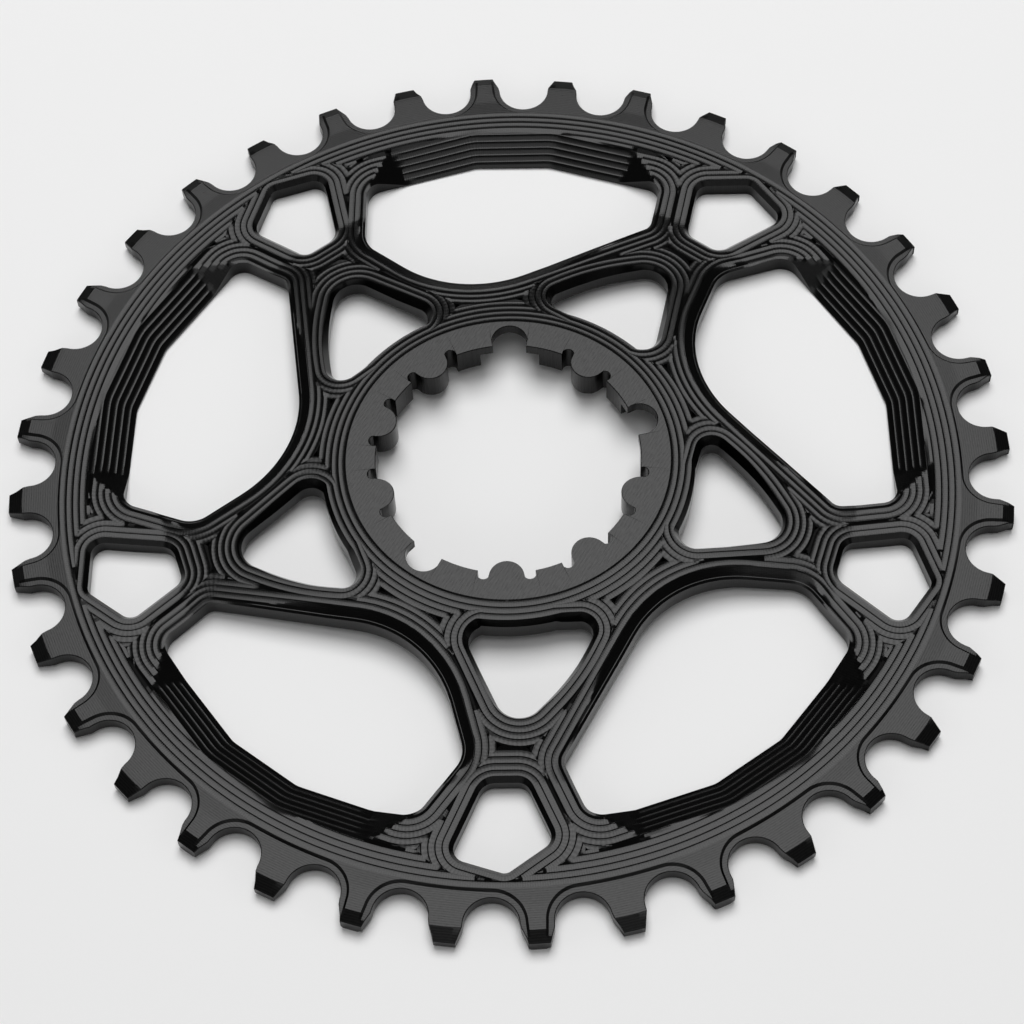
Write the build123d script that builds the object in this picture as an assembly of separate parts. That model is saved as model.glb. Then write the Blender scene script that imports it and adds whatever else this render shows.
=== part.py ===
from build123d import *
import os
from math import acos, atan2, cos, degrees, hypot, pi, radians, sin, sqrt, tan

# Bicycle chainring for a 12.7 mm chain, machined from one plate: alternate wide and narrow teeth,
# a dished web with five arms and fifteen windows, and a splined hub held by three bolts.
# Frame: millimetres, ring axis on Z, back of the rim on Z = 0, outer face up,
# and +Y through the middle of one large window.

# Chain and teeth
chain_pitch = 12.7
tooth_count = 36
tooth_phase = 3.65
seat_r = 3.95
tooth_height = 2.72
right_tip = 1.25
left_tip = 1.7
right_shoulder = 2.25
left_shoulder = 2.4
shoulder_height = 0.5
pad_tip_half_width = 1.1
ledge_width = 1.1
narrow_tip_run = 2.08
narrow_tip_drop = 0.83
wide_tip_run = 1.78
wide_tip_drop = 0.8

# Rim and web section
rim_thickness = 3.1
thin_inset = 0.44
rim_band = 15.3
back_band = 11.0
hub_back_r = 26.5
hub_top = 6.5
hub_thickness = 4.6
hub_flat_r = 24.2
hub_flat_lip = 0.1

# Hub spline and bolt notches
bore_r = 19.85
lobe_r = 2.6
lobe_depth = 2.0
relief_r = 0.95
relief_sink = 0.35
relief_bite = 0.1
notch_r = 2.75
notch_sink = 0.85
notch_counterbore_r = 4.65
notch_flange = 1.8
spline_places = 10
notch_places = (0, 4, 8)

# Windows: each corner is a station from hub flat (0) to rim step (1),
# an angle from +Y and a corner radius
arm_count = 5
big_window = [
    (0.782, 23.5, 3.0),
    (0.796, 5.74, 4.0),
    (0.796, -5.74, 4.0),
    (0.784, -24.15, 2.5),
    (0.5745, -26.5, 2.0),
    (0.149, 15.2, 18.0),
    (0.542, 29.1, 4.5),
]
triangle_window = [
    (0.133, -8.8, 1.85),
    (0.2875, -21.05, 35.0),
    (0.472, -34.8, 3.6),
    (0.103, -49.7, 2.5),
]
pentagon_window = [
    (0.895, 28.9, 2.0),
    (0.628, 32.6, 2.5),
    (0.6265, 39.3, 2.0),
    (0.837, 42.6, 2.0),
    (0.943, 36.25, 1.5),
]
triangle_bevel_z = 3.65
triangle_bevel_lean = 0.577
triangle_hub_r = 28.0
triangle_hub_bevel = 1.05
pentagon_bevel_z = 2.4
pentagon_bevel_lean = 0.9
arm_step_width = 0.95
arm_step_drop = 0.65
arm_steps = 2

# Terraces milled down the rim side of each large window
terrace_count = 4
terrace_pitch = 1.0
terrace_rise = 0.5
terrace_tread = 0.35
terrace_width = 5.15
terrace_end_lean = 0.33
terrace_end_r = 6.0

# Ring grooves left by the cutter on rim and hub
groove_pitch = 1.0
groove_width = 0.34
groove_depth = 0.18
rim_groove_inset = 1.05
rim_grooves = 3
hub_grooves = 2

# Values that follow from the sizes above
tooth_angle = 360 / tooth_count
half_angle = tooth_angle / 2
pitch_r = chain_pitch / (2 * sin(pi / tooth_count))
tip_r = pitch_r + tooth_height
ledge_r = seat_r + ledge_width
step_r = pitch_r - ledge_r
thin_low = thin_inset
thin_high = rim_thickness - thin_inset
dish_r = step_r - rim_band
back_dish_r = step_r - back_band
hub_bottom = hub_top - hub_thickness
lobe_centre_r = bore_r - lobe_depth + lobe_r
core_r = bore_r - lobe_depth - lobe_r
overlap = 1.0
reach = hub_top + overlap


def polar(radius, angle):
    """Point at a radius and an angle from +Y, anticlockwise seen from above."""
    return (-radius * sin(radians(angle)), radius * cos(radians(angle)))


def section(points):
    """Face in the XZ plane from radius and height pairs."""
    return Plane.XZ * make_face(Polyline(*points, close=True))


def spin(shape, angles):
    """Copies of a shape turned about the ring axis."""
    return [Rot(0, 0, angle) * shape for angle in angles]


def web_top(radius):
    """Height of the dished outer face at a radius inside the rim."""
    slope = (hub_top - hub_flat_lip - rim_thickness) / (dish_r - hub_flat_r)
    return rim_thickness + slope * max(dish_r - radius, 0)


# Teeth in plan, drawn with the tooth pointing along +Y
seat_x, seat_y = -polar(pitch_r, half_angle)[0], polar(pitch_r, half_angle)[1]
flank_x = seat_x - seat_r
tip_y = sqrt(tip_r**2 - left_tip**2)
shoulder_y = pitch_r + shoulder_height


def tooth_edges(angle):
    """Right flank, tip, left flank and the following roller seat of one tooth."""
    right = Polyline((flank_x, seat_y), (right_shoulder, shoulder_y), (right_tip, tip_y))
    tip = Line((right_tip, tip_y), (-left_tip, tip_y))
    left = Polyline((-left_tip, tip_y), (-left_shoulder, shoulder_y), (-flank_x, seat_y))
    seat_foot = polar(pitch_r - seat_r, half_angle)
    seat_end = polar(hypot(flank_x, seat_y), tooth_angle - degrees(atan2(flank_x, seat_y)))
    seat = ThreePointArc((-flank_x, seat_y), seat_foot, seat_end)
    return [Rot(0, 0, angle) * edge for edge in (right, tip, left, seat)]


def pad_face():
    """Raised middle of a wide tooth, set back from both roller seats by the ledge."""
    base = step_r - overlap
    foot = polar(step_r, -half_angle)
    waist = (seat_x - ledge_r, seat_y)
    diagonal = radians(45 - half_angle / 2)
    bend = (seat_x - ledge_r * cos(diagonal), seat_y - ledge_r * sin(diagonal))
    top = (pad_tip_half_width, tip_y)
    right = [
        Line(polar(base, -half_angle), foot),
        ThreePointArc(foot, bend, waist),
        Line(waist, top),
    ]
    left = [mirror(edge, about=Plane.YZ) for edge in right]
    cap = Line(top, (-top[0], top[1]))
    floor = Line(polar(base, -half_angle), polar(base, half_angle))
    return make_face([*right, *left, cap, floor])


def tip_cutter(run, drop, face):
    """Flat slanting cut over the outer face of one tooth tip."""
    far = tip_r + overlap
    low = face - drop * (run + overlap) / run
    shape = section([(tip_r - run, face), (far, low), (far, reach), (tip_r - run, reach)])
    return Rot(0, 0, 90) * extrude(shape, amount=chain_pitch / 3, both=True)


wide_angles = [tooth_phase + 2 * i * tooth_angle for i in range(tooth_count // 2)]
narrow_angles = [angle + tooth_angle for angle in wide_angles]
all_angles = [tooth_phase + i * tooth_angle for i in range(tooth_count)]

profile = [edge for angle in all_angles for edge in tooth_edges(angle)]
plate_face = make_face(profile) - Circle(step_r - overlap)
plate = extrude(Pos(0, 0, thin_low) * plate_face, amount=thin_high - thin_low)
pads = spin(extrude(pad_face(), amount=rim_thickness), wide_angles)

# Dished blank from hub to rim
blank = revolve(
    section(
        [
            (core_r, hub_bottom),
            (hub_back_r, hub_bottom),
            (back_dish_r, 0),
            (step_r, 0),
            (step_r, rim_thickness),
            (dish_r, rim_thickness),
            (hub_flat_r, hub_top - hub_flat_lip),
            (hub_flat_r, hub_top),
            (core_r, hub_top),
        ]
    ),
    Axis.Z,
)
ring = blank + [plate, *pads]

tips = [
    *spin(tip_cutter(narrow_tip_run, narrow_tip_drop, thin_high), narrow_angles),
    *spin(tip_cutter(wide_tip_run, wide_tip_drop, rim_thickness), wide_angles),
]
ring -= tips


# Windows
def corner_point(corner):
    """Plan position of a window corner."""
    station, angle, _ = corner
    return polar(hub_flat_r + station * (step_r - hub_flat_r), angle)


def window_face(points, radii, grow=0):
    """Rounded convex outline, moved outward all round by grow."""
    moved = []
    for i, (x, y) in enumerate(points):
        ax, ay = points[i - 1]
        bx, by = points[(i + 1) % len(points)]
        la = hypot(ax - x, ay - y)
        lb = hypot(bx - x, by - y)
        ux, uy = (ax - x) / la, (ay - y) / la
        vx, vy = (bx - x) / lb, (by - y) / lb
        half = acos(ux * vx + uy * vy) / 2
        mx, my = ux + vx, uy + vy
        size = hypot(mx, my)
        shift = grow / sin(half)
        moved.append((x - mx / size * shift, y - my / size * shift))
    return make_face(FilletPolyline(*moved, radius=[r + grow for r in radii], close=True))


def opening(corners, grow=0):
    """Window outline from its corner list."""
    return window_face([corner_point(c) for c in corners], [c[2] for c in corners], grow)


def bevel(corners, start, lean):
    """Cutter that widens a window from a height up past the outer face."""
    low = Pos(0, 0, start) * opening(corners)
    high = Pos(0, 0, reach) * opening(corners, lean * (reach - start))
    return loft([low, high], ruled=True)


def hub_collar():
    """Metal that stays round the hub beside the triangle windows, with a short bevel at its top edge."""
    foot = web_top(triangle_hub_r) - triangle_hub_bevel
    return revolve(
        section(
            [
                (core_r, -overlap),
                (triangle_hub_r, -overlap),
                (triangle_hub_r, foot),
                (triangle_hub_r - triangle_bevel_lean * (reach + overlap - foot), reach + overlap),
                (core_r, reach + overlap),
            ]
        ),
        Axis.Z,
    )


def above_web(drop):
    """Space over the dished face, lowered by drop."""
    return revolve(
        section(
            [
                (core_r, reach),
                (core_r, web_top(core_r) - drop),
                (dish_r, rim_thickness - drop),
                (step_r, rim_thickness - drop),
                (step_r, reach),
            ]
        ),
        Axis.Z,
    )


# Terrace outlines run along the rim-side corners of a large window and close across its opening
rim_side = [corner_point(c) for c in big_window[:4]]
foot_run = terrace_width - terrace_count * terrace_pitch
riser_run = terrace_pitch - terrace_tread
riser_slope = terrace_rise / riser_run
low_right, side_y = corner_point(big_window[4])
low_left = corner_point(big_window[6])[0]


def cut_corner(before, corner, after):
    """Three points that take a corner off in two flats, as wide as a round of terrace_end_r."""
    here, back, ahead = Vector(*corner), Vector(*before), Vector(*after)
    u = (back - here).normalized()
    v = (ahead - here).normalized()
    half = acos(u.dot(v)) / 2
    middle = (u + v).normalized() * terrace_end_r * (1 / sin(half) - 1)
    reach_along = terrace_end_r / tan(half)
    return [(p.X, p.Y) for p in (here + u * reach_along, here + middle, here + v * reach_along)]


def terrace_face(width):
    """Plan of the cut at a distance out from the foot of the terraces."""
    (ax, ay), (bx, by), (cx, cy), (dx, dy) = rim_side
    left_slope = atan2(by - ay, bx - ax)
    right_slope = atan2(cy - dy, dx - cx)
    out = terrace_end_lean * width
    left_end = (ax - out, ay + width / cos(left_slope) - out * tan(left_slope))
    left_knee = (bx - width * tan(left_slope / 2), by + width)
    right_knee = (cx + width * tan(right_slope / 2), cy + width)
    right_end = (dx + out, dy + width / cos(right_slope) - out * tan(right_slope))
    right_low = (low_right - overlap, side_y)
    left_low = (low_left + overlap, side_y)
    points = [
        left_low,
        *cut_corner(left_low, left_end, left_knee),
        left_knee,
        right_knee,
        *cut_corner(right_knee, right_end, right_low),
        right_low,
    ]
    return make_face(Polyline(*points, close=True))


def terrace(width, run, top):
    """One sloping riser, from its foot at width up to a height."""
    low = Pos(0, 0, top - run * riser_slope) * terrace_face(width)
    high = Pos(0, 0, top) * terrace_face(width + run)
    return loft([low, high], ruled=True)


terraces = [terrace(0, foot_run, rim_thickness - terrace_count * terrace_rise)]
for i in range(terrace_count):
    width = foot_run + i * terrace_pitch + terrace_tread
    terraces.append(terrace(width, riser_run, rim_thickness - (terrace_count - 1 - i) * terrace_rise))
headroom = extrude(Pos(0, 0, rim_thickness) * terrace_face(terrace_width), amount=hub_top)
terraces.append(headroom)

collar = hub_collar()
through = [
    extrude(opening(big_window), amount=reach),
    extrude(opening(triangle_window), amount=reach) - collar,
    extrude(opening(pentagon_window), amount=reach),
]
bevels = [
    bevel(triangle_window, triangle_bevel_z, triangle_bevel_lean) - collar,
    bevel(pentagon_window, pentagon_bevel_z, pentagon_bevel_lean),
]
steps = []
for i in range(1, arm_steps + 1):
    strip = extrude(opening(big_window, i * arm_step_width), amount=reach)
    steps.append(strip & above_web((arm_steps + 1 - i) * arm_step_drop))

arm_angles = [i * 360 / arm_count for i in range(arm_count)]
for cutter in [*through, *bevels, *steps, *terraces]:
    ring -= spin(cutter, arm_angles)

# Hub bore with lobes, corner reliefs and bolt notches
relief_centre_r = bore_r + relief_sink
relief_gap = lobe_r + relief_r - relief_bite
relief_angle = degrees(
    acos(
        (lobe_centre_r**2 + relief_centre_r**2 - relief_gap**2)
        / (2 * lobe_centre_r * relief_centre_r)
    )
)
place_angle = 360 / spline_places
notch_angles = [i * place_angle for i in notch_places]
lobe_angles = [i * place_angle for i in range(spline_places) if i not in notch_places]


def on_circle(shape, radius, angles):
    """Copies of a plan shape centred at a radius and at angles from +Y."""
    return [Pos(*polar(radius, angle)) * shape for angle in angles]


relief_angles = [a + side * relief_angle for a in lobe_angles for side in (-1, 1)]
bore_face = Circle(bore_r) - on_circle(Circle(lobe_r), lobe_centre_r, lobe_angles)
bore_face += on_circle(Circle(relief_r), relief_centre_r, relief_angles)
notch_centre_r = bore_r + notch_sink
bore_face += on_circle(Circle(notch_r), notch_centre_r, notch_angles)
ring -= extrude(bore_face, amount=reach)
recess = Cylinder(notch_counterbore_r, hub_top - notch_flange, align=(Align.CENTER, Align.CENTER, Align.MIN))
ring -= on_circle(recess, notch_centre_r, notch_angles)


# Ring grooves
def ring_groove(radius):
    """Circular groove of V section in the outer face."""
    top = web_top(radius)
    half = groove_width / 2
    return revolve(
        section(
            [
                (radius - half, web_top(radius - half)),
                (radius, top - groove_depth),
                (radius + half, web_top(radius + half)),
                (radius + half, top + groove_width),
                (radius - half, top + groove_width),
            ]
        ),
        Axis.Z,
    )


rim_radii = [step_r - rim_groove_inset - i * groove_pitch for i in range(rim_grooves)]
hub_radii = [hub_flat_r + (i + 1) * groove_pitch for i in range(hub_grooves)]
ring -= [ring_groove(radius) for radius in rim_radii + hub_radii]

os.makedirs("parts", exist_ok=True)
chainring = ring.solid()
chainring.label = "chainring"
export_step(chainring, "parts/chainring.step")
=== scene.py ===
# %% [markdown]
# A bicycle chainring is the toothed ring that the pedals turn. This one is milled from one aluminium
# plate and anodised black, and the cutter has left fine ridges that follow the edge of every window.
# The CAD model is the fixed frame: it gives the size, the place and the body that the surface rides on.
# Here the same form is built again as one fine surface, because the ridges need far more faces than a
# CAD solid can carry. All sizes below are millimetres, in the CAD model's own frame.

import bmesh
import bpy
import numpy as np
from mathutils import Matrix, Vector


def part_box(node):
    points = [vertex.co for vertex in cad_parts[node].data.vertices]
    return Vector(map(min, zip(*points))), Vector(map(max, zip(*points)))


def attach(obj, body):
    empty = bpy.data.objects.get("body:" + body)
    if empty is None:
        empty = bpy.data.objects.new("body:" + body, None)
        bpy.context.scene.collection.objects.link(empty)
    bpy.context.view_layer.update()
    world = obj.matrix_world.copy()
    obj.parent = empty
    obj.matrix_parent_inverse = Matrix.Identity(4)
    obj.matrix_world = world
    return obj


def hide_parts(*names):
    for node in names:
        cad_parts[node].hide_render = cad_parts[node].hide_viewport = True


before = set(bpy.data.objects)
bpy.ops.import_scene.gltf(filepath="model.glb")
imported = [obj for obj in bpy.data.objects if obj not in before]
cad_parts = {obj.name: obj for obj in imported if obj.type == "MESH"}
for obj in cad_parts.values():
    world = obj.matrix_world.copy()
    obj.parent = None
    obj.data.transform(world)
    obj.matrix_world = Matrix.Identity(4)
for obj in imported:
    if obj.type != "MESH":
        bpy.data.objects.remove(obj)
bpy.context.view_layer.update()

MM = 0.001
cad_low, cad_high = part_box("chainring")
hub_top = cad_high.z / MM
print("CAD box, mm:", [round(v / MM, 2) for v in cad_high - cad_low])

# %% [markdown]
# The section of the ring comes first, since every other surface asks it for a height. The outer face is
# a shallow cone that falls from the hub to the rim and then runs level, and the back is a hollow dish.
# Two short formulas of the radius hold all of that, and numpy lets them take whole arrays of points.

# %% Section of the ring
chain_pitch = 12.7
tooth_count = 36
seat_r = 3.95
ledge_width = 1.1
rim_thickness = 3.1
rim_band = 15.3
back_band = 11.0
hub_flat_r = 24.2
hub_flat_lip = 0.1
hub_thickness = 4.6
hub_back_r = 26.5

pitch_r = chain_pitch / (2 * np.sin(np.pi / tooth_count))
ledge_r = seat_r + ledge_width
step_r = pitch_r - ledge_r
dish_r = step_r - rim_band
back_dish_r = step_r - back_band
hub_bottom = hub_top - hub_thickness
dish_slope = (hub_top - hub_flat_lip - rim_thickness) / (dish_r - hub_flat_r)


def radius_of(xy):
    """Distance of plan points from the ring axis."""
    return np.hypot(xy[..., 0], xy[..., 1])


def web_top(r):
    """Outer face: level at the rim, then rising in a straight line towards the hub."""
    return rim_thickness + dish_slope * np.clip(dish_r - r, 0, None)


def web_back(r):
    """Back face: level at the rim, a straight rise to the hub, then level again."""
    return hub_bottom * np.clip((back_dish_r - r) / (back_dish_r - hub_back_r), 0, 1)


def with_height(xy, z):
    """Plan points and heights joined to points in space."""
    return np.concatenate([xy, np.broadcast_to(z, xy.shape[:-1])[..., None]], -1)


def turned(points, degrees):
    """Points turned about the ring axis."""
    a = np.radians(degrees)
    x = points[..., 0] * np.cos(a) - points[..., 1] * np.sin(a)
    y = points[..., 0] * np.sin(a) + points[..., 1] * np.cos(a)
    return np.concatenate([np.stack([x, y], -1), points[..., 2:]], -1)


print(f"pitch radius {pitch_r:.2f} mm, rim step {step_r:.2f} mm, dish slope {dish_slope:.3f}")

# %% [markdown]
# Each arm sector has three windows: a large one, a triangle beside the hub and a five-sided one in the
# fork at the rim. A window is a convex polygon with rounded corners, and an arc at every corner says all
# of it: the straight sides are simply the jumps between arcs.

# %% Window outlines
arm_count = 5
arc_steps = 20
window_corners = {
    "large": [
        (-23.3, 41.8, 4.5),
        (-8.05, 29.64, 18.0),
        (22.0, 44.1, 2.0),
        (23.9, 53.3, 2.5),
        (5.9, 58.65, 4.0),
        (-5.9, 58.65, 4.0),
        (-23.3, 53.5, 3.0),
    ],
    "hub_side": [
        (21.9, 18.55, 2.5),
        (25.56, 36.8, 3.6),
        (13.2, 34.3, 35.0),
        (4.57, 29.67, 1.85),
    ],
    "fork": [
        (-38.64, 52.7, 1.5),
        (-41.13, 44.7, 2.0),
        (-32.66, 39.88, 2.0),
        (-27.8, 43.5, 2.5),
        (-30.55, 55.4, 2.0),
    ],
}


def facing_vector(facing):
    """Unit vectors that point along the given angles."""
    return np.stack([np.cos(facing), np.sin(facing)], -1)


def rounded_outline(corners):
    """Corner arcs of a convex outline, taken anticlockwise: points and the angles that they face.

    The arc at a corner has its centre on the inward bisector, at the radius divided by the cosine of
    half the turn, and it sweeps from the normal of one side to the normal of the next.
    """
    corner, r = np.array(corners)[:, :2], np.array(corners)[:, 2]
    side = np.roll(corner, -1, 0) - corner
    heading = np.arctan2(side[:, 1], side[:, 0])
    before = np.roll(heading, 1)
    turn = (heading - before) % (2 * np.pi)
    inward = facing_vector(before + np.pi / 2 + turn / 2)
    centre = corner + inward * (r / np.cos(turn / 2))[:, None]
    facing = (before - np.pi / 2)[:, None] + turn[:, None] * np.linspace(0, 1, arc_steps)
    points = centre[:, None] + r[:, None, None] * facing_vector(facing)
    points = points.reshape(-1, 2)
    facing = np.unwrap(facing.ravel())
    return np.vstack([points, points[:1]]), np.append(facing, facing[0] + 2 * np.pi)


outlines = {name: rounded_outline(corners) for name, corners in window_corners.items()}
print({name: len(points) for name, (points, facing) in outlines.items()})

# %% [markdown]
# The cutter ran round every edge at steps of one millimetre, and where the passes of two edges met it
# turned back, so the ridges meet in mitres halfway between. To find those mitres we need the distance
# from any point to any edge. For a convex window that is the largest of its tangent-line distances,
# which is one matrix product. For the hub and the rim it is only a difference of radii. The triangle
# beside the hub is also held back by a round collar, so it takes the larger of two distances.

# %% Distances between edges
ridge_start = {"large": 0.8, "hub_side": 0.5, "fork": 0.52}
hub_line = hub_flat_r + 0.27
rim_line = step_r - 0.1
collar_r = 28.0
slope_ends = [((-21.0, 58.0), (0.927, -0.375)), ((20.6, 58.2), (-0.894, -0.447))]
widest_land = 8.0
halvings = 26
sector = 360 / arm_count
places = np.arange(arm_count) * sector


def tangents(points, facing):
    """Unit normals of an outline's copies round the ring, and each tangent's distance from the axis."""
    normal = facing_vector(facing)
    reach = (points * normal).sum(-1)
    return np.stack([turned(normal, a) for a in places]), reach


window_tangents = {name: tangents(*outline) for name, outline in outlines.items()}


def window_distance(xy, name):
    """Distance from plan points to each copy of a window."""
    normal, reach = window_tangents[name]
    d = (np.einsum("mi,cki->cmk", xy, normal) - reach).max(-1)
    return np.maximum(d, collar_r - radius_of(xy)) if name == "hub_side" else d


def clearance(xy, own):
    """Distance from plan points to the nearest ridge start other than the edge they belong to."""
    r = radius_of(xy)
    found = []
    if own != "hub":
        found.append(r - hub_line)
    if own != "rim":
        found.append(rim_line - r)
    for name in outlines:
        d = window_distance(xy, name) - ridge_start[name]
        found.extend(d[1:] if name == own else d)
    return np.min(found, 0)


def end_distance(xy):
    """Distance inside the two slanted lines where the terraces of the first large window stop."""
    return np.min([(xy - start) @ np.array(inward) for start, inward in slope_ends], 0)


def land_width(point, normal, own):
    """Distance from a ridge start to the mitre, found by halving the range that holds it."""
    low = np.zeros(len(point))
    high = np.full(len(point), widest_land)
    for _ in range(halvings):
        middle = (low + high) / 2
        inside = middle <= clearance(point + normal * middle[:, None], own)
        low, high = np.where(inside, middle, low), np.where(inside, high, middle)
    return low


print("tangent lines per window:", {name: len(reach) for name, (normal, reach) in window_tangents.items()})

# %% [markdown]
# A surface of ridges is a grid. Its columns run out from an edge at right angles and its rows follow the
# edge at fixed distances, each stopped at the mitre. The mitres only look clean if both sides have a
# column where a row meets them, so columns are added at just those places. Four rows are enough for one
# pass of the cutter: the crest of a ridge, the foot of its flank, the middle of the land and the next foot.

# %% Columns and rows of the ridges
ridge_pitch = 1.0
flat_half = 0.41
pass_count = 6
rows_in_pass = ridge_pitch * np.array([0, 0.5, 0.5, 0.5]) + np.array([0, -flat_half, 0, flat_half])
ridge_rows = (np.arange(pass_count)[:, None] * ridge_pitch + rows_in_pass).ravel()
bend_length = 7.0
column_gap = 1.0
search_gap = 0.05
crowding = 0.2
end_probe = 2.0
end_zone = 2.4
end_stride = 24


def path_length(points, facing):
    """Running length of a path on which one radian of turn counts as bend_length."""
    step = np.hypot(*np.diff(points, axis=0).T) + bend_length * np.abs(np.diff(facing))
    return np.append(0, np.cumsum(step))


def columns_at(points, facing, where):
    """Points and facing angles of a path at the given running lengths."""
    run = path_length(points, facing)
    x, y, a = (np.interp(where, run, v) for v in (points[:, 0], points[:, 1], facing))
    return np.stack([x, y], -1), a


def held_by_collar(points, facing):
    """The triangle's path, sampled finely, with its hub side moved out to the round collar."""
    total = path_length(points, facing)[-1]
    points, facing = columns_at(points, facing, np.linspace(0, total, int(total / search_gap)))
    r = radius_of(points)
    to_axis = np.arctan2(-points[:, 1], -points[:, 0])
    turn = (to_axis - facing + np.pi) % (2 * np.pi) - np.pi
    inside = r < collar_r
    moved = points * (np.where(inside, collar_r, r) / r)[:, None]
    return moved, facing + np.where(inside, turn, 0)


def ridge_columns(points, facing, start, own):
    """Columns of one ridged edge: points on its ridge start, normals and the distance to the mitre."""
    total = path_length(points, facing)[-1]
    where = np.linspace(0, total, int(total / search_gap))
    point, angle = columns_at(points, facing, where)
    normal = facing_vector(angle)
    width = land_width(point + start * normal, normal, own)
    above = width[:, None] > ridge_rows
    i, k = np.nonzero(above[1:] != above[:-1])
    share = (ridge_rows[k] - width[i]) / (width[i + 1] - width[i])
    crossing = where[i] + share * (where[i + 1] - where[i])
    fill = np.linspace(0, total, int(total / column_gap))
    if own == "large":
        at_end = np.abs(end_distance(point + end_probe * normal)) < end_zone
        fill = np.union1d(fill, where[at_end][::end_stride])
    apart = np.abs(fill[:, None] - crossing).min(-1) > crowding
    apart[[0, -1]] = True
    chosen = np.concatenate([fill[apart], crossing])
    level = np.concatenate([np.full(apart.sum(), np.nan), ridge_rows[k]])
    order = np.argsort(chosen)
    point, angle = columns_at(points, facing, chosen[order])
    normal = facing_vector(angle)
    point = point + start * normal
    width = np.where(np.isnan(level[order]), land_width(point, normal, own), level[order])
    return point, normal, width


def circle_path(r, inward):
    """One sector of a circle, as a path with the web on its right-hand side."""
    a = np.radians(90 + np.linspace(0, sector, 361))
    a = a[::-1] if inward else a
    return r * facing_vector(a), a + np.pi if inward else a


paths = {**outlines, "hub_side": held_by_collar(*outlines["hub_side"])}
families = {name: ridge_columns(*paths[name], ridge_start[name], name) for name in paths}
families["hub"] = ridge_columns(*circle_path(hub_line, False), 0.0, "hub")
families["rim"] = ridge_columns(*circle_path(rim_line, True), 0.0, "rim")
for name, (point, normal, width) in families.items():
    print(f"{name}: {len(point)} columns, land {width.min():.2f} to {width.max():.2f} mm wide")

# %% [markdown]
# The height of a ridge depends on how far a point lies from the middle of the nearest pass. The land is
# very slightly hollow, and beyond its foot the flank climbs steeply to the crest. At a mitre a pass ends
# in a sharp corner that the round cutter can't reach, so a small black pyramid is left standing. The
# second distance below gives that: how far along the edge the nearest complete pass lies.

# %% Height of the ridges
ridge_height = 0.12
pyramid_slope = 0.6
land_hollow = 0.055
out_of_reach = 9.0


def pass_profile(away):
    """Height over the web at a distance from the middle of a pass: hollow, flank, then pyramid."""
    crest = ridge_pitch / 2
    heights = [-land_hollow, 0, ridge_height, ridge_height + pyramid_slope]
    return np.interp(away, [0, flat_half, crest, crest + 1], heights)


def pass_gap(point, width, k):
    """Distance along an edge from each column to the nearest one that pass k reaches."""
    run = np.append(0, np.cumsum(np.hypot(*np.diff(point, axis=0).T)))
    reached = run[width >= (k + 0.5) * ridge_pitch]
    if len(reached) == 0:
        return np.full(len(run), out_of_reach)
    ring = np.concatenate([reached - run[-1], reached, reached + run[-1]])
    after = np.clip(np.searchsorted(ring, run), 1, len(ring) - 1)
    return np.minimum(np.abs(ring[after] - run), np.abs(run - ring[after - 1]))


def ridge_lift(e, point, width):
    """Height over the web for rows of distances: that of the nearest pass, or of its end at a mitre."""
    k = np.clip(np.floor(e / ridge_pitch + 1e-6).astype(int), -1, pass_count)
    middle = (k + 0.5) * ridge_pitch
    gaps = np.stack([pass_gap(point, width, i) for i in range(pass_count + 1)])
    gap = gaps[np.maximum(k, 0), np.arange(len(point))]
    away = np.abs(e - middle)
    from_corner = np.minimum(np.hypot(away, gap), e - middle + ridge_pitch)
    return pass_profile(np.where(width < middle - 1e-6, from_corner, away))


print(f"lands {2 * flat_half:.2f} mm wide between ridges {ridge_height:.2f} mm high")

# %% [markdown]
# Round the large window the face falls away. On the rim side the cut is deep: the passes of the cutter go
# on down it as terraces, each a hollow scallop that starts nearly level and ends steep, and it stops at
# two slanted ends. Along the arms it is a shallow slope with one thin step, and it fades out
# towards the forks. The depth depends only on the plan point, so neighbouring sheets agree on it.

# %% Slope of the large window
rim_rise = 0.5
rim_reach = 5.2
rim_skew = 0.025
tread_share = 0.4
end_rise = 0.6
arm_rise = 0.42
arm_reach = 1.9
arm_step = ([0, 0.38, 0.46, 1.0, 9.0], [0, 0.42, 0.42, 1.0, 9.0])
arm_fade_y = (41.0, 48.5)
arm_fade_x = (6.0, 21.0)
rim_facing = (0.05, 0.35)
arm_facing = 0.2
circle_facing = 0.5


def terraced(d):
    """Distance from the opening in hollow treads: in each pass it starts slowly and ends fast."""
    u = (d - ridge_start["large"]) / ridge_pitch
    k = np.floor(u + 1e-6)
    t = u - k
    return ridge_start["large"] + ridge_pitch * (k + tread_share * t + (1 - tread_share) * t * t)


def slope_depth(d, normal, foot):
    """Depth of the cut below the web: its rise times what is left of its reach.

    On the rim side a slanted end can make it less, and along the arms the reach fades at both ends.
    """
    rim = rim_rise * (rim_reach - rim_skew * foot[:, 0] - terraced(d))
    rim = np.minimum(rim, end_rise * end_distance(foot + normal * d[:, None]))
    rim = rim * np.interp(normal[:, 1], rim_facing, (0, 1))
    left = np.interp(foot[:, 1], arm_fade_y, (1, 0))
    right = np.interp(foot[:, 0], arm_fade_x, (1, 0))
    reach = arm_reach * np.where(foot[:, 0] < 0, left, right)
    arm = np.where(normal[:, 1] < arm_facing, arm_rise * (reach - np.interp(d, *arm_step)), 0)
    return np.clip(np.maximum(rim, arm), 0, None)


def nearest_opening(xy):
    """Distance to the nearest large window, and its normal and foot there, turned to the first sector."""
    normal, reach = window_tangents["large"]
    d = np.einsum("mi,cki->mck", xy, normal) - reach
    copy = d.max(-1).argmin(-1)
    d = d[np.arange(len(xy)), copy]
    normal = normal[0, d.argmax(-1)]
    d = d.max(-1)
    return d, normal, turned(xy, -places[copy]) - normal * d[:, None]


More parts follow.
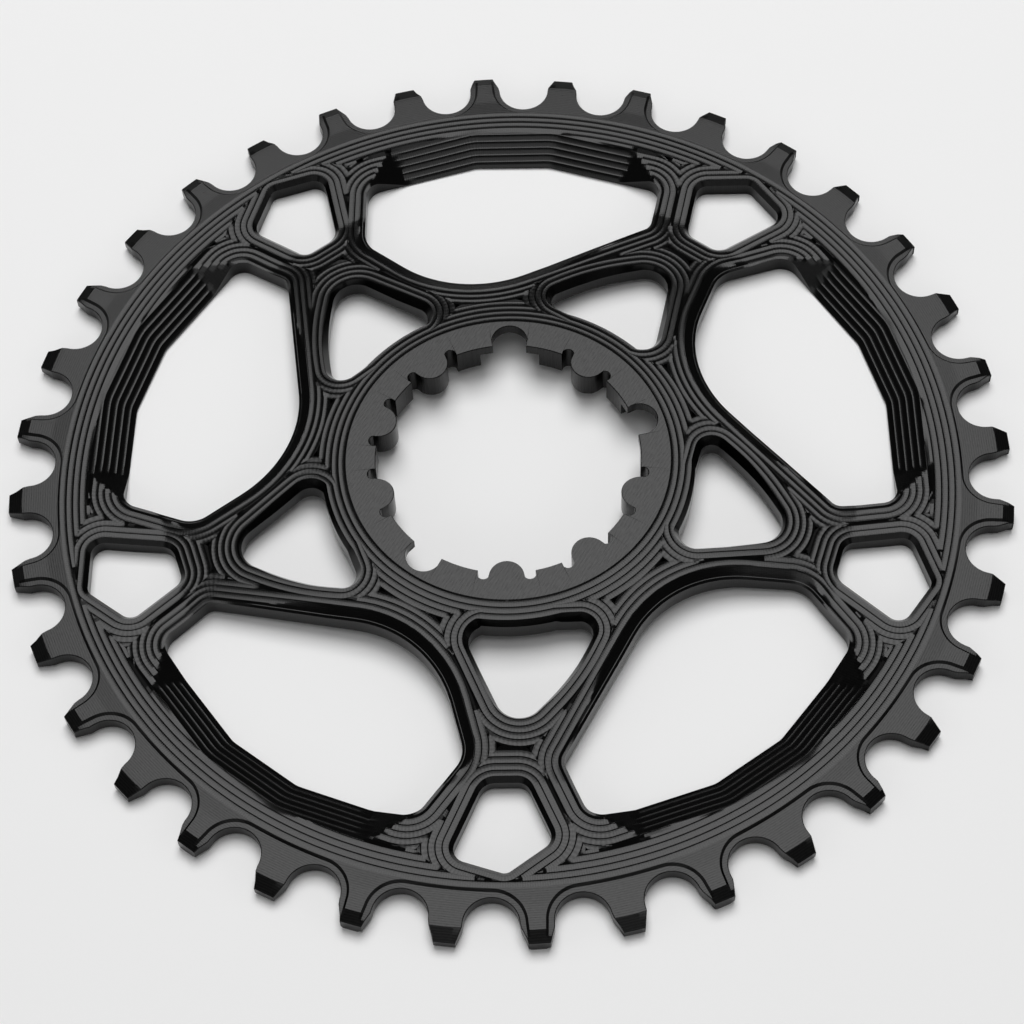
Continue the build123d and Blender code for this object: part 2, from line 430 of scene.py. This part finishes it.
def face_height(xy, lift):
    """Outer face: the web with its ridges, less the depth of the cut, which takes the ridges' place.

    Above the terraces the ridges are only those of the rim, which run through as whole circles.
    """
    flat = xy.reshape(-1, 2)
    r = radius_of(flat)
    d, normal, foot = nearest_opening(flat)
    depth = slope_depth(d, normal, foot)
    above = (normal[:, 1] > circle_facing) & (end_distance(foot + normal * d[:, None]) > 0)
    circles = pass_profile(np.abs((rim_line - r) % ridge_pitch - ridge_pitch / 2))
    lift = np.where(above, circles, lift.ravel())
    z = web_top(r) + lift * (1 - np.clip(depth / ridge_height, 0, 1)) - depth
    return z.reshape(xy.shape[:-1])


print(f"deepest terrace {rim_rise * rim_reach:.2f} mm, arm slope {arm_rise * arm_reach:.2f} mm")

# %% [markdown]
# Now each window can be made as one sheet that wraps round its edge: from the mitre across the ridges,
# down the bevel or the terraces, down the wall, and back along the rear face to the mitre. It is a
# profile carried along a path. The sheets of neighbouring edges share the mitre points at which a row
# ends, so they can be joined there later.

# %% Sheets around the windows
hub_bevel_z = 3.65
hub_bevel_lean = 0.577
least_bevel = 0.1
widest_bevel = 0.85
collar_bevel = 1.05
fork_bevel_z = 2.4
fork_bevel_lean = 0.9
back_edge = 0.2
sheets = []


def add_sheet(grid, travel, finish, angles):
    """Keeps a grid of points, with the pattern coordinates of its surface, once for every angle."""
    sheets.extend((turned(grid, a), travel, finish) for a in angles)


def land_rows(point, normal, width, rows, low):
    """Ridged rows from the mitre down to the inner limit of the land: points in space and distances."""
    e = np.clip(np.concatenate([rows, np.broadcast_to(low, (1, len(point)))]), low, width)
    xy = point + normal * e[..., None]
    return with_height(xy, face_height(xy, ridge_lift(e, point, width))), e


def back_rows(foot, point, normal, width):
    """Wall foot, broken back edge and rear face out to the mitre."""
    edge = foot + normal * back_edge
    mitre = point + normal * width[:, None]
    half = (edge + mitre) / 2
    low_foot = with_height(foot, web_back(radius_of(foot)) + back_edge)
    return np.stack([low_foot, *(with_height(p, web_back(radius_of(p))) for p in (edge, half, mitre))])


def travel_of(grid, point, across):
    """Pattern coordinates: millimetres along the edge and across it."""
    run = np.append(0, np.cumsum(np.hypot(*np.diff(point, axis=0).T)))
    along = np.broadcast_to(run, grid.shape[:2])
    depth = np.zeros(grid.shape[:2])
    depth[: len(across)] = across
    return np.stack([along, depth], -1)


def bevelled_window(name, bevel_z, lean, top_r):
    """Sheet of a window whose bevel leans out from one height, but never past a radius at its top."""
    point, normal, width = families[name]
    foot = point - normal * ridge_start[name]
    r = radius_of(foot)
    to_axis = np.clip(-(foot * normal).sum(-1) / r, 1e-3, None)
    spread = np.clip(lean * (web_top(r) - bevel_z), least_bevel, widest_bevel)
    spread = np.minimum(spread, (r - top_r) / to_axis)
    low = np.minimum(spread - ridge_start[name], width)
    land, e = land_rows(point, normal, width, ridge_rows[::-1, None] + 0 * low, low)
    bevel_foot = with_height(foot, web_top(r) - spread / lean)[None]
    grid = np.concatenate([land, bevel_foot, back_rows(foot, point, normal, width)])
    add_sheet(grid, travel_of(grid, point, e), "milled", places)
    print(name, "sheet:", grid.shape)


bevelled_window("hub_side", hub_bevel_z, hub_bevel_lean, collar_r - hub_bevel_lean * collar_bevel)
bevelled_window("fork", fork_bevel_z, fork_bevel_lean, 0.0)

point, normal, width = families["large"]
foot = point - normal * ridge_start["large"]
quarters = (np.arange(pass_count)[:, None] + [0.25, 0.75]) * ridge_pitch
step_edges = np.array(arm_step[0][1:3]) - ridge_start["large"]
rows = np.concatenate([ridge_rows, quarters.ravel(), step_edges])
rows = np.sort(rows)[::-1, None] + 0 * width
land, e = land_rows(point, normal, width, rows, np.full(len(point), -ridge_start["large"]))
grid = np.concatenate([land, back_rows(foot, point, normal, width)])
add_sheet(grid, travel_of(grid, point, e), "milled", places)
print("large sheet:", grid.shape)

# %% [markdown]
# The hub has a flat lapped face, and its ridged part is a grid like those of the windows. The bore is a
# row of arcs: seven round lobes, each between two small relief holes, and three bolt notches with a
# wider counterbore behind them. Every arc is sampled by its own angle, and the flat face is the strip
# from that outline to a circle.

# %% Hub face and splined bore
bore_r = 19.85
lobe_r = 2.6
lobe_depth = 2.0
relief_r = 0.95
relief_sink = 0.35
relief_bite = 0.1
notch_r = 2.75
notch_sink = 0.85
recess_r = 4.65
notch_flange = 1.8
spline_places = 10
notch_places = (0, 4, 8)
hub_edge_break = 0.1
hub_seam_r = 25.5
bore_edge = 0.12
lapping_angle = 60
arc_points = {"bore": 5, "relief": 18, "lobe": 12, "notch": 16, "notch bore": 14}

lobe_centre_r = bore_r - lobe_depth + lobe_r
relief_centre_r = bore_r + relief_sink
notch_centre_r = bore_r + notch_sink
place_half = 180 / spline_places
first_foot = ridge_pitch / 2 - flat_half


def corner_angle(a, b, opposite):
    """Angle between two sides of a triangle, in degrees, by the law of cosines."""
    return np.degrees(np.arccos((a * a + b * b - opposite * opposite) / (2 * a * b)))


def arc(centre_angle, centre_r, r, start, end, count):
    """Points of an arc whose centre lies at an angle from +Y; its own angles count from outwards."""
    a = np.radians(centre_angle + np.linspace(start, end, count))
    c = np.radians(centre_angle)
    x = -centre_r * np.sin(c) - r * np.sin(a)
    y = centre_r * np.cos(c) + r * np.cos(a)
    return np.stack([x, y], -1)


def lobe_outline():
    """Bore outline of one place with a lobe, from half a place before it to half a place after."""
    gap = lobe_r + relief_r - relief_bite
    lean = corner_angle(lobe_centre_r, relief_centre_r, gap)
    to_bore = corner_angle(relief_centre_r, bore_r, relief_r)
    bore_turn = corner_angle(relief_centre_r, relief_r, bore_r)
    lobe_side = corner_angle(relief_centre_r, gap, lobe_centre_r)
    bite = corner_angle(gap, relief_r, lobe_r)
    lobe_turn = corner_angle(lobe_centre_r, gap, relief_centre_r)
    lobe_bite = corner_angle(gap, lobe_r, relief_r)
    bore = arc(0, 0, bore_r, lean + to_bore, place_half, arc_points["bore"])
    relief_ends = (lobe_side + bite - 180, 180 - bore_turn)
    relief = arc(lean, relief_centre_r, relief_r, *relief_ends, arc_points["relief"])
    lobe = arc(0, lobe_centre_r, lobe_r, 180, 180 - lobe_turn + lobe_bite, arc_points["lobe"])
    half = np.concatenate([lobe, relief[1:], bore[1:]])
    return np.concatenate([half[:0:-1] * (-1, 1), half])


def notch_outline():
    """Bore outline of one place with a bolt notch."""
    to_notch = corner_angle(bore_r, notch_centre_r, notch_r)
    notch_turn = 180 - corner_angle(notch_centre_r, notch_r, bore_r)
    bore = arc(0, 0, bore_r, to_notch, place_half, arc_points["notch bore"])
    notch = arc(0, notch_centre_r, notch_r, 0, notch_turn, arc_points["notch"])
    half = np.concatenate([notch, bore[1:]])
    return np.concatenate([half[:0:-1] * (-1, 1), half])


def bore_sheet(outline, recess):
    """Sheet of one place: hub edge, flat face, bore wall, flange underside, recess wall and back."""
    angle = np.arctan2(outline[:, 1], outline[:, 0])
    angle = np.maximum.accumulate(angle)
    out = facing_vector(angle)
    wide = outline
    if recess:
        off = angle - np.pi / 2
        inside = np.clip(recess_r**2 - (notch_centre_r * np.sin(off)) ** 2, 0, None)
        far = notch_centre_r * np.cos(off) + np.sqrt(inside)
        reached = (inside > 0) & (far > radius_of(outline))
        wide = np.where(reached[:, None], out * far[:, None], outline)
    flange_z = hub_top - notch_flange
    web_edge_r = hub_line + first_foot
    rows = [
        (out * web_edge_r, web_top(web_edge_r)),
        (out * (hub_flat_r + hub_edge_break), hub_top),
        (outline + bore_edge * out, hub_top),
        (outline, hub_top - bore_edge),
        (outline, flange_z),
        (wide, flange_z),
        (wide, hub_bottom),
        (out * hub_seam_r, hub_bottom),
    ]
    return np.stack([with_height(xy, z) for xy, z in rows])


for place in range(spline_places):
    notched = place in notch_places
    grid = bore_sheet(notch_outline() if notched else lobe_outline(), notched)
    lapping = turned(grid, 2 * place_half * place - lapping_angle)[..., :2]
    add_sheet(grid, lapping, "lapped", [2 * place_half * place])

point, normal, width = families["hub"]
rows = ridge_rows[::-1, None] + 0 * width
land, e = land_rows(point, normal, width, rows, np.full(len(point), first_foot))
mitre_r = hub_line + width
back_r = np.stack([np.full_like(mitre_r, hub_seam_r), np.minimum(mitre_r, hub_back_r), mitre_r])
rear = with_height(normal * back_r[..., None], web_back(back_r))
add_sheet(land, travel_of(land, point, e), "milled", places)
add_sheet(rear, rear[..., :2], "milled", places)
print("hub ridges:", land.shape, "bore place:", grid.shape)

# %% [markdown]
# Teeth come in two kinds by turns: wide ones with a raised pad between two ledges, and narrow ones with
# no pad. Half a tooth is one grid that wraps from its middle line over the ledge, down the flank and back
# along the rear. Its rows follow the roller seat, because the ledge and the seat are arcs about the same
# roller. The left half is the right half with its own widths, mirrored, and turning gives the rest.

# %% Teeth
tooth_phase = 3.65
tooth_height = 2.72
thin_inset = 0.44
tip_half = {"right": 1.25, "left": 1.7}
shoulder_half = {"right": 2.25, "left": 2.4}
shoulder_height = 0.5
pad_tip_half = 1.1
narrow_tip = (2.08, 0.83)
wide_tip = (1.78, 0.8)
wall_top = 0.1
wall_foot = -0.28
crease_r = 70.1
crease_drop = 0.1
flank_edge = 0.12
seat_steps = 14
pad_steps = 4

tooth_angle = 360 / tooth_count
half_turn = np.radians(tooth_angle / 2)
tip_r = pitch_r + tooth_height
roller = pitch_r * np.array([np.sin(half_turn), np.cos(half_turn)])
tip_y = np.sqrt(tip_r**2 - tip_half["left"] ** 2)
shoulder_y = pitch_r + shoulder_height
tooth_rim_r = rim_line - first_foot
thin = rim_thickness - thin_inset


def seat_curve(side, off, run):
    """Line at a set distance out from the roller seat of a half tooth, up to its tip.

    It is an arc about the roller and then, above the roller's middle, a line to the tip. The outline
    itself, at no distance, also bends at the shoulder.
    """
    to_crease = (crease_r**2 - pitch_r**2 - ledge_r**2) / (2 * pitch_r * ledge_r)
    crease = np.pi / 2 - half_turn + np.arccos(to_crease)
    swing = np.linspace(1.5 * np.pi - half_turn, np.pi, seat_steps)
    swing = np.sort(np.append(swing, crease))[::-1]
    y = np.sort([shoulder_y, tip_r - run, (tip_r - run + tip_y) / 2, tip_y])
    start = roller[0] - seat_r - off
    knee = [(roller[1], start), (shoulder_y, shoulder_half[side]), (tip_y, tip_half[side])]
    if off > 0:
        knee = [(roller[1], start), (tip_y, start - (roller[0] - ledge_r - pad_tip_half))]
    x = np.interp(y, *np.array(knee).T)
    return np.concatenate([roller + (seat_r + off) * facing_vector(swing), np.stack([x, y], -1)])


def tooth_rows(side, level, tip, wide):
    """Half-tooth grid: pad, ledge wall, ledge and flank, and the same again for the rear."""
    run, drop = tip
    outline = seat_curve(side, 0, run)
    foot = seat_curve(side, ledge_width + wall_foot, run)
    edge = seat_curve(side, ledge_width + wall_top, run) if wide else foot
    inset = outline + flank_edge * (foot - outline) / np.linalg.norm(foot - outline, axis=1)[:, None]
    angle = np.arctan2(edge[:, 0], edge[:, 1])
    share = np.linspace(0, 1, pad_steps + 1)
    r = radius_of(edge)[:, None]
    pad = np.stack([r * np.sin(angle[:, None] * share), r * np.cos(angle[:, None] * share)], -1)
    ledges = np.stack([foot, inset], 1) if wide else inset[:, None]

    def top(xy, height):
        away = radius_of(xy)
        sunk = crease_drop * np.clip((away - rim_line) / (crease_r - rim_line), 0, 1) if wide else 0
        slant = level - sunk - drop * (away - (tip_r - run)) / run
        return np.minimum(height - (sunk if height > thin else 0), slant)

    side_wall = outline[:, None]
    front = [with_height(pad, top(pad, level)), with_height(ledges, top(ledges, thin))]
    front.append(with_height(side_wall, top(side_wall, thin) - flank_edge))
    back = [with_height(side_wall, thin_inset + flank_edge), with_height(ledges[:, ::-1], thin_inset)]
    back.append(with_height(pad[:, ::-1], rim_thickness - level))
    return np.concatenate(front + back, 1)


def tooth_sheets(side, level, tip, wide):
    """Grids of a half tooth: its wrap, its tip face, and its joint with the rim in front and behind."""
    wrap = tooth_rows(side, level, tip, wide)
    half = wrap.shape[1] // 2
    cap = np.stack([wrap[-1, :half], wrap[-1, : half - 1 : -1]])
    foot = wrap[0, : pad_steps + 1, :2]
    out = foot / radius_of(foot)[:, None]
    inner, edge = out * tooth_rim_r, out * rim_line
    rear_z = rim_thickness - level
    front = [with_height(inner, rim_thickness), with_height(edge, rim_thickness), with_height(foot, level)]
    rear = [with_height(foot, rear_z), with_height(edge, 0.0), with_height(inner, 0.0)]
    return [wrap, cap, np.stack(front), np.stack(rear)]


wide_angles = tooth_phase + 2 * tooth_angle * np.arange(tooth_count // 2)
kinds = [
    (rim_thickness, wide_tip, True, wide_angles),
    (thin, narrow_tip, False, wide_angles + tooth_angle),
]
for level, tip, wide, angles in kinds:
    for grid in tooth_sheets("right", level, tip, wide):
        add_sheet(grid, grid[..., :2], "tooth", angles)
    for grid in tooth_sheets("left", level, tip, wide):
        mirrored = grid[:, ::-1] * (-1, 1, 1)
        add_sheet(mirrored, mirrored[..., :2], "tooth", angles)
    print("wide" if wide else "narrow", "teeth:", len(angles))

point, normal, width = families["rim"]
rows = ridge_rows[::-1, None] + 0 * width
land, e = land_rows(point, normal, width, rows, np.full(len(point), first_foot))
mitre = point + normal * width[:, None]
inner_edge = -normal * tooth_rim_r
rear = np.stack([with_height(p, web_back(radius_of(p))) for p in (inner_edge, mitre)])
add_sheet(land, travel_of(land, point, e), "milled", places)
add_sheet(rear, rear[..., :2], "milled", places)
print("rim ridges:", land.shape)

# %% [markdown]
# All sheets become one mesh. Where two sheets meet at a mitre they share the points at which a row ends,
# and merging points that lie together joins them there. Between those points each sheet has some of its
# own, which leaves slits, most of them hair-thin. The short slits are filled with one narrow face each.
# The long ones follow a curve, where one flat face would cut across, so they stay open, and the mesh isn't
# watertight. A cell whose two sides have shrunk to nothing is left out. Edges sharper than a set angle stay
# sharp, which keeps the ridges crisp and the round walls smooth.

# %% Weld the sheets into one mesh
finish_names = ["milled", "lapped", "tooth"]
weld_distance = 0.003
slit_sides = 6
sharp_angle = np.radians(18)


def sheet_cells(grid, first):
    """Corner numbers of a grid's cells, leaving out those that have no depth."""
    number = first + np.arange(grid[..., 0].size).reshape(grid.shape[:2])
    cells = np.stack([number[:-1, :-1], number[:-1, 1:], number[1:, 1:], number[1:, :-1]], -1)
    depth = np.linalg.norm(np.diff(grid, axis=0), axis=-1)
    return cells[depth[:, :-1] + depth[:, 1:] > 1e-6]


def weld_sheets(name):
    """One object from every sheet, with its pattern coordinates and a finish for each face."""
    starts = np.append(0, np.cumsum([grid[..., 0].size for grid, travel, finish in sheets]))
    cells = [sheet_cells(grid, first) for (grid, travel, finish), first in zip(sheets, starts)]
    points = np.concatenate([grid.reshape(-1, 3) for grid, travel, finish in sheets])
    travel = np.concatenate([travel.reshape(-1, 2) for grid, travel, finish in sheets])
    kinds = [finish_names.index(finish) for grid, travel, finish in sheets]
    finish = np.repeat(kinds, [len(c) for c in cells])
    cells = np.concatenate(cells)
    mesh = bpy.data.meshes.new(name)
    mesh.from_pydata((points * MM).tolist(), [], cells.tolist())
    mesh.polygons.foreach_set("material_index", finish)
    mesh.uv_layers.new(name="travel").data.foreach_set("uv", travel[cells].ravel())
    shell = bmesh.new()
    shell.from_mesh(mesh)
    bmesh.ops.remove_doubles(shell, verts=shell.verts, dist=weld_distance * MM)
    slits = [e for e in shell.edges if e.is_boundary]
    bmesh.ops.holes_fill(shell, edges=slits, sides=slit_sides)
    print("slit edges:", len(slits), "left open:", sum(e.is_boundary for e in shell.edges))
    loose = [v for v in shell.verts if not v.link_faces]
    bmesh.ops.delete(shell, geom=loose, context="VERTS")
    shell.to_mesh(mesh)
    shell.free()
    mesh.shade_smooth()
    mesh.set_sharp_from_angle(angle=sharp_angle)
    piece = bpy.data.objects.new(name, mesh)
    bpy.context.scene.collection.objects.link(piece)
    return piece


ring = weld_sheets("ridged_chainring")
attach(ring, "root")
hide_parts("chainring")
print("triangles:", sum(len(p.vertices) - 2 for p in ring.data.polygons))

# %% [markdown]
# The metal is aluminium anodised black. The dyed oxide layer is dark and keeps the texture of the cut
# below it, so it shines only where it faces a lamp: level faces go grey and slopes go black. Every
# finish below is built by the same two helpers: one turns a hex colour into linear light and one adds a
# node with its values and links.

# %% Material helpers
def linear(hex_colour):
    """An sRGB hex colour as linear red, green, blue and alpha."""
    c = np.array([int(hex_colour[i : i + 2], 16) for i in (1, 3, 5)]) / 255
    c = np.where(c <= 0.04045, c / 12.92, ((c + 0.055) / 1.055) ** 2.4)
    return (*c.tolist(), 1.0)


def add_node(tree, kind, values=(), links=(), **settings):
    """Adds a node, sets its properties and sockets, and links other nodes' outputs to its inputs."""
    node = tree.nodes.new(kind)
    for name, value in settings.items():
        setattr(node, name, value)
    for socket, value in dict(values).items():
        node.inputs[socket].default_value = value
    for socket, output in dict(links).items():
        tree.links.new(output, node.inputs[socket])
    return node


def new_tree(name):
    """A new material with an empty node tree."""
    material = bpy.data.materials.new(name)
    material.use_nodes = True
    material.node_tree.nodes.clear()
    return material, material.node_tree


print("black as linear light:", np.round(linear("#2a2a2a"), 4))

# %% [markdown]
# All three finishes of the ring are one dyed metal with different marks. The marks are a pattern from 0
# to 1 made of two parts: waves, which are the even scallops of a feed, and streaks, which are stretched
# noise. They tint the dye, change the roughness a little and lift the surface by about a hundredth of a
# millimetre. The pattern coordinates are millimetres, so every scale is a size on the ring. Real marks are
# finer: they are drawn coarser here, since finer ones would be lost in the picture.

# %% Black anodised aluminium
dye_dark = "#161616"
dye_light = "#323232"
wave_unit = 2 * np.pi / 20
roughness_spread = 0.05


def anodised(name, across, feed, streak, wave_share, roughness, lift):
    """Anodised metal. A wave of Blender's texture is two pi twentieths long, so scale is that over feed."""
    material, tree = new_tree(name)
    travel = add_node(tree, "ShaderNodeUVMap", uv_map="travel").outputs["UV"]
    waves = add_node(
        tree,
        "ShaderNodeTexWave",
        {"Scale": wave_unit / feed, "Distortion": 1.5, "Detail": 1.0, "Detail Scale": 0.6},
        {"Vector": travel},
        bands_direction=across,
    )
    stretched = add_node(
        tree,
        "ShaderNodeVectorMath",
        {1: (1 / streak[0], 1 / streak[1], 1)},
        {0: travel},
        operation="MULTIPLY",
    )
    streaks = add_node(
        tree,
        "ShaderNodeTexNoise",
        {"Scale": 1.0, "Detail": 3.0, "Roughness": 0.6},
        {"Vector": stretched.outputs["Vector"]},
    )
    marks = add_node(
        tree,
        "ShaderNodeMix",
        {"Factor": wave_share},
        {"A": streaks.outputs["Fac"], "B": waves.outputs["Fac"]},
        data_type="FLOAT",
    )
    marks = marks.outputs["Result"]
    dye = add_node(
        tree,
        "ShaderNodeMix",
        {"A": linear(dye_dark), "B": linear(dye_light)},
        {"Factor": marks},
        data_type="RGBA",
    )
    polish = add_node(
        tree,
        "ShaderNodeMapRange",
        {"To Min": roughness - roughness_spread, "To Max": roughness + roughness_spread},
        {"Value": marks},
    )
    relief = add_node(tree, "ShaderNodeBump", {"Strength": 1.0, "Distance": lift * MM}, {"Height": marks})
    shader = add_node(
        tree,
        "ShaderNodeBsdfPrincipled",
        {"Metallic": 1.0},
        {
            "Base Color": dye.outputs["Result"],
            "Roughness": polish.outputs["Result"],
            "Normal": relief.outputs["Normal"],
        },
    )
    add_node(tree, "ShaderNodeOutputMaterial", links={"Surface": shader.outputs["BSDF"]})
    return material


# Milled along the ridges: a fine grain that keeps the lands satin and the flanks black.
ridge_milled = anodised(
    "black anodised aluminium, ridge milled",
    across="X",
    feed=0.35,
    streak=(0.3, 0.15),
    wave_share=0.25,
    roughness=0.2,
    lift=0.008,
)
# Lapped flat: short slanting scratches, duller than the ridges.
lapped = anodised(
    "black anodised aluminium, lapped",
    across="Y",
    feed=0.5,
    streak=(1.1, 0.14),
    wave_share=0.1,
    roughness=0.28,
    lift=0.012,
)
# Milled across the teeth: broader scallops and the dullest sheen.
tooth_milled = anodised(
    "black anodised aluminium, tooth milled",
    across="Y",
    feed=0.35,
    streak=(0.6, 0.16),
    wave_share=0.3,
    roughness=0.3,
    lift=0.012,
)
finishes = [ridge_milled, lapped, tooth_milled]
for finish in finishes:
    ring.data.materials.append(finish)
print([finish.name for finish in finishes])

# %% [markdown]
# The ring lies on a sheet of white paper. The paper is a plain square far larger than the picture, so
# that its edge never shows, and it is matt.

# %% Stage
floor_gap = 0.02
floor_half = 6.0
corners = np.array([(-1, -1, 0), (1, -1, 0), (1, 1, 0), (-1, 1, 0)]) * floor_half
floor_mesh = bpy.data.meshes.new("floor")
floor_mesh.from_pydata((corners - (0, 0, floor_gap * MM)).tolist(), [], [(0, 1, 2, 3)])
floor = bpy.data.objects.new("floor", floor_mesh)
bpy.context.scene.collection.objects.link(floor)
paper, tree = new_tree("white paper")
matt = add_node(tree, "ShaderNodeBsdfDiffuse", {"Color": linear("#f4f4f4")})
add_node(tree, "ShaderNodeOutputMaterial", links={"Surface": matt.outputs["BSDF"]})
floor_mesh.materials.append(paper)
print("floor, m:", 2 * floor_half)

# %% [markdown]
# One large softbox hangs behind the ring and above it. Level faces mirror it to the camera and look
# grey, and everything that leans away mirrors the dim room and looks black, which is what draws the
# ridges. A weaker softbox overhead and three dim ones, low at the front and the sides, do the same for
# somebody who looks from above or from behind. A weak even light from all round keeps the shadows open.

# %% Light
def softbox(name, elevation, azimuth, distance, size, power):
    """Area lamp that looks at the ring from an elevation and an azimuth counted from +Y."""
    lamp = bpy.data.lights.new(name, "AREA")
    lamp.shape = "RECTANGLE"
    lamp.size, lamp.size_y = size
    lamp.energy = power
    e, a = np.radians([elevation, azimuth])
    towards = Vector((np.sin(a) * np.cos(e), np.cos(a) * np.cos(e), np.sin(e)))
    box = bpy.data.objects.new(name, lamp)
    aim = towards.to_track_quat("Z", "Y").to_matrix().to_4x4()
    box.matrix_world = Matrix.Translation(towards * distance) @ aim
    bpy.context.scene.collection.objects.link(box)
    return box


fill_elevation = 23.5
fill_distance = 2.0
fill_size = (2.4, 0.81)
fills = {"front fill": (180, 4.0), "right fill": (100, 2.8), "left fill": (-100, 2.8)}
world_strength = 0.1

softbox("back softbox", elevation=65.5, azimuth=0, distance=1.5, size=(1.05, 1.02), power=18.0)
softbox("top softbox", elevation=80.0, azimuth=180, distance=1.5, size=(0.8, 0.7), power=2.6)
for name, (azimuth, power) in fills.items():
    softbox(name, fill_elevation, azimuth, fill_distance, fill_size, power)
world = bpy.data.worlds.new("studio")
world.use_nodes = True
background = world.node_tree.nodes["Background"]
background.inputs["Color"].default_value = (1, 1, 1, 1)
background.inputs["Strength"].default_value = world_strength
bpy.context.scene.world = world
bpy.context.scene.view_settings.view_transform = "Standard"

# %% [markdown]
# The camera stands where the photograph was taken from: above the ring and in front of it, with a long
# lens, and rolled by a few degrees. Its place was worked out from the tooth valleys in the picture.

# %% Camera
camera_at = (12.514, -208.797, 348.431)
camera_azimuth = 3.4
camera_elevation = 59.7386
camera_roll = 3.327
camera_lens = 94.28


def camera_matrix():
    """Camera axes: right and up square to the line of sight, then rolled about it."""
    a, e, roll = np.radians([camera_azimuth, camera_elevation, camera_roll])
    sight = np.array([-np.sin(a) * np.cos(e), np.cos(a) * np.cos(e), -np.sin(e)])
    level = np.array([np.cos(a), np.sin(a), 0])
    upward = np.cross(level, sight)
    right = level * np.cos(roll) - upward * np.sin(roll)
    up = level * np.sin(roll) + upward * np.cos(roll)
    axes = np.stack([right, up, -sight, np.array(camera_at) * MM], 1)
    return Matrix([*axes.tolist(), [0, 0, 0, 1]])


camera = bpy.data.objects.new("camera", bpy.data.cameras.new("camera"))
camera.matrix_world = camera_matrix()
camera.data.lens = camera_lens
camera.data.clip_start = 0.01
bpy.context.scene.collection.objects.link(camera)
bpy.context.scene.camera = camera
print("camera at, mm:", camera_at)
